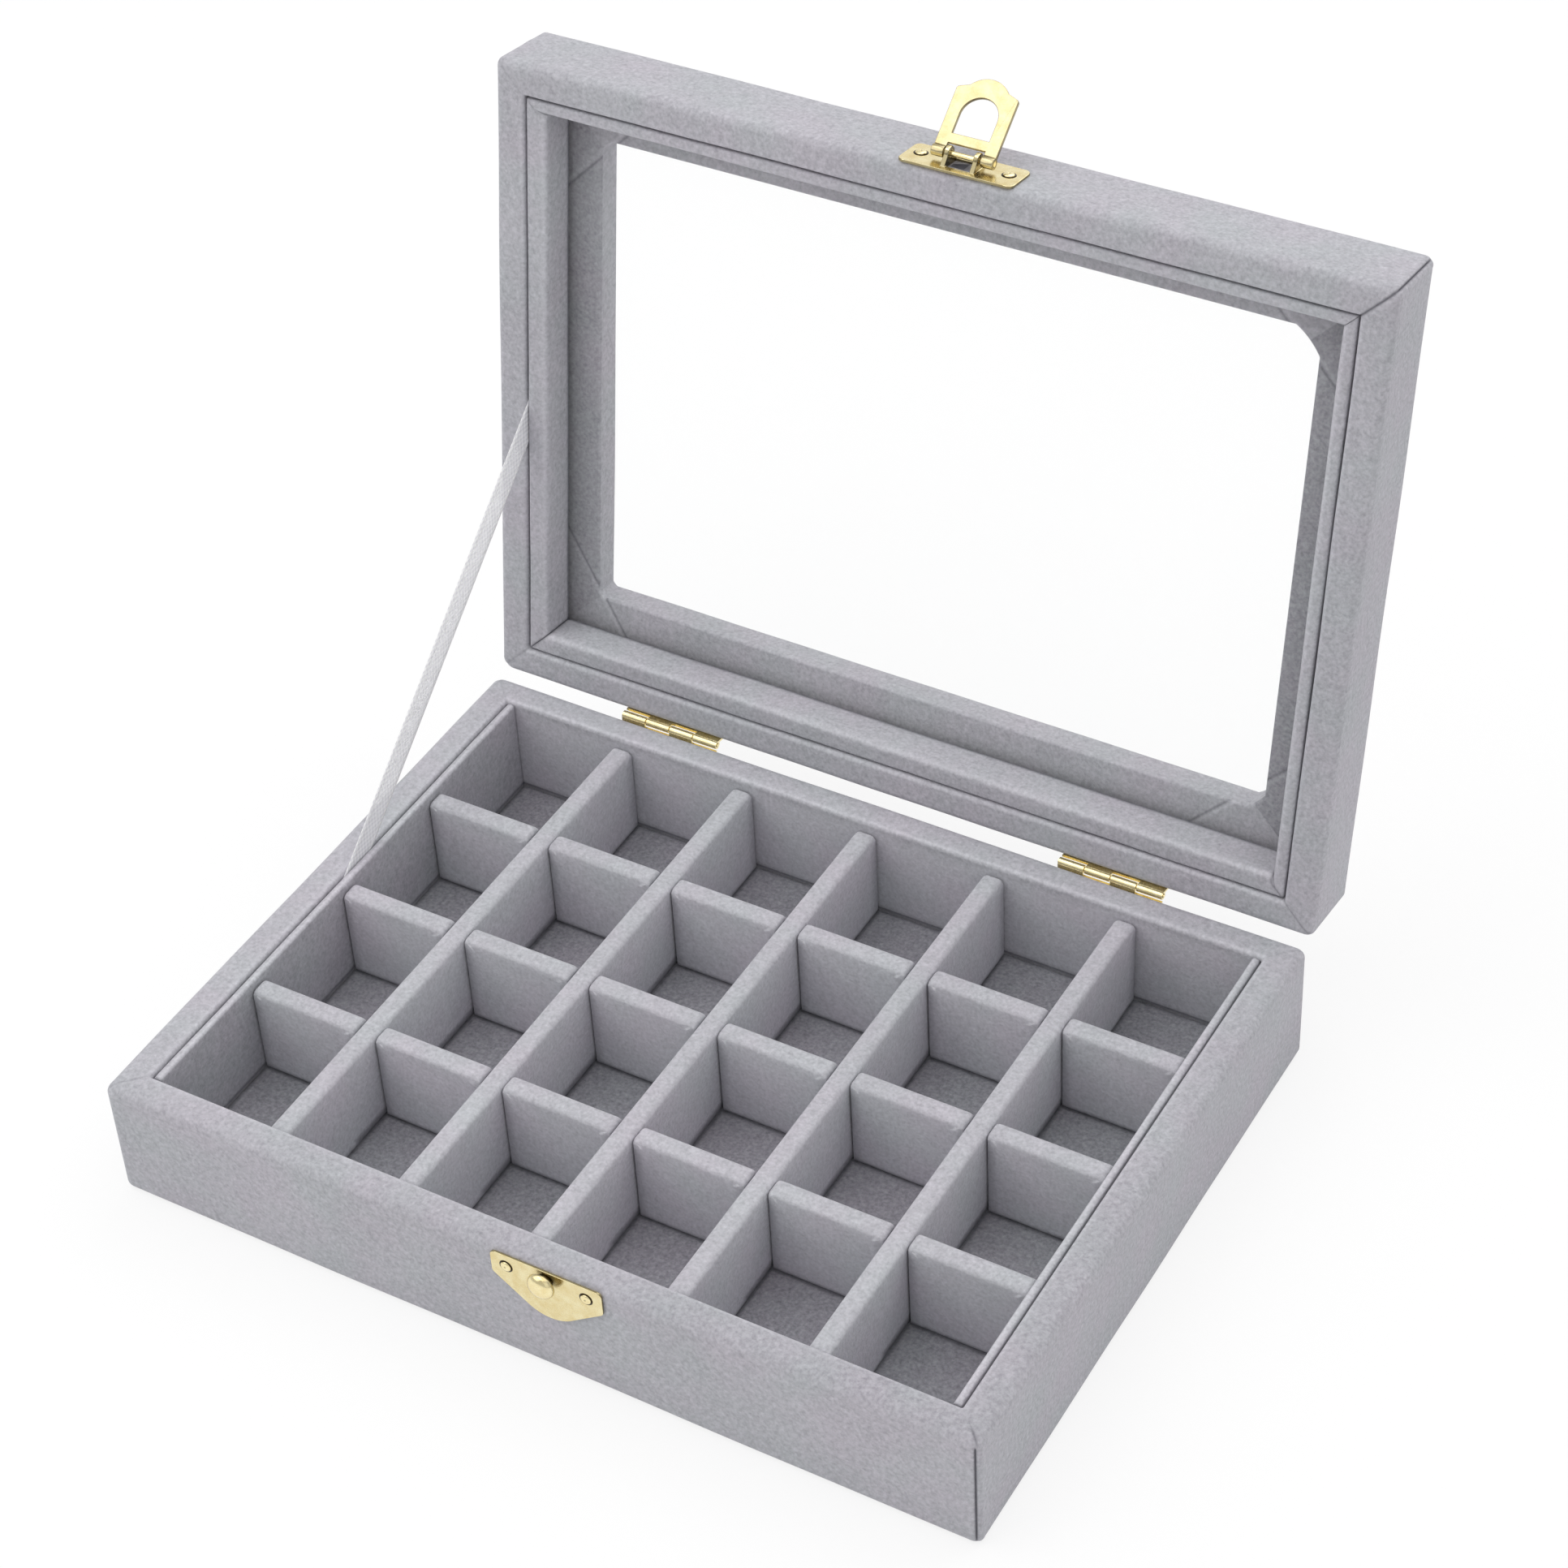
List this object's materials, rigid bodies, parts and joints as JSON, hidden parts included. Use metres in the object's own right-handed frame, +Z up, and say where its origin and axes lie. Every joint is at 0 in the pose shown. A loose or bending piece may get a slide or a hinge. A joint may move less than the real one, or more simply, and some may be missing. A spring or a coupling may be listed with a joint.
{
  "type": "jewellery box with a glass lid",
  "caption": "Shallow velvet-covered jewellery box with a grid of open cells, a hinged glass-windowed lid, a ribbon stay and a brass hasp with knob catch.",
  "frame": {"origin": "middle of the underside of the base", "axes": "+X to the right along the front, +Y from the front to the hinged back, +Z up out of the base"},
  "size_m": [0.2, 0.1939, 0.1884],
  "materials": {
    "velvet": "short grey velvet pile, matt with a pale sheen at the edges",
    "board": "raw fibreboard, hidden under the velvet",
    "card": "flat grey cloth-faced card",
    "glass": "clear polished sheet",
    "brass": "pale bright brass plating on thin stamped sheet",
    "ribbon": "thin white woven ribbon, slightly sheer"
  },
  "bodies": {
    "base": {"base_wall_front": "board", "base_wall_back": "board", "base_wall_left": "board", "base_wall_right": "board", "base_bottom_board": "board", "base_cover": "velvet", "underside_card": "card", "base_liner_left": "velvet", "base_liner_right": "velvet", "floor_pad": "velvet", "long_divider_1": "velvet", "long_divider_2": "velvet", "long_divider_3": "velvet", "long_divider_4": "velvet", "long_divider_5": "velvet", "cross_divider_1": "velvet", "cross_divider_2": "velvet", "cross_divider_3": "velvet", "hinge_left_base_leaf": "brass", "hinge_left_pin": "brass", "hinge_right_base_leaf": "brass", "hinge_right_pin": "brass", "hinge_base_nails": "brass", "catch_plate": "brass", "catch_nails": "brass", "catch_knob": "brass", "ribbon_stay": "ribbon"},
    "lid": {"lid_wall_front": "board", "lid_wall_back": "board", "lid_wall_left": "board", "lid_wall_right": "board", "lid_lip_front": "board", "lid_lip_back": "board", "lid_lip_left": "board", "lid_lip_right": "board", "lid_cover": "velvet", "glass_pane": "glass", "lid_liner_front": "velvet", "lid_liner_back": "velvet", "lid_liner_left": "velvet", "lid_liner_right": "velvet", "hinge_left_lid_leaf": "brass", "hinge_right_lid_leaf": "brass", "hinge_lid_nails": "brass", "hasp_plate": "brass", "hasp_pin": "brass", "hasp_nails": "brass"},
    "loop": {"hasp_loop": "brass"}
  },
  "joints": [
    {"name": "lid_hinge", "type": "hinge", "parent": "base", "child": "lid", "pos_m": [0, 0.0747, 0.0298], "axis": [1, 0, 0], "range_deg": [0, 98.9], "deforming": ["ribbon_stay"]},
    {"name": "hasp_swing", "type": "hinge", "parent": "lid", "child": "loop", "pos_m": [0.0068, 0.10278, 0.17809], "axis": [1, 0, 0], "range_deg": [-40, 133.7]}
  ]
}
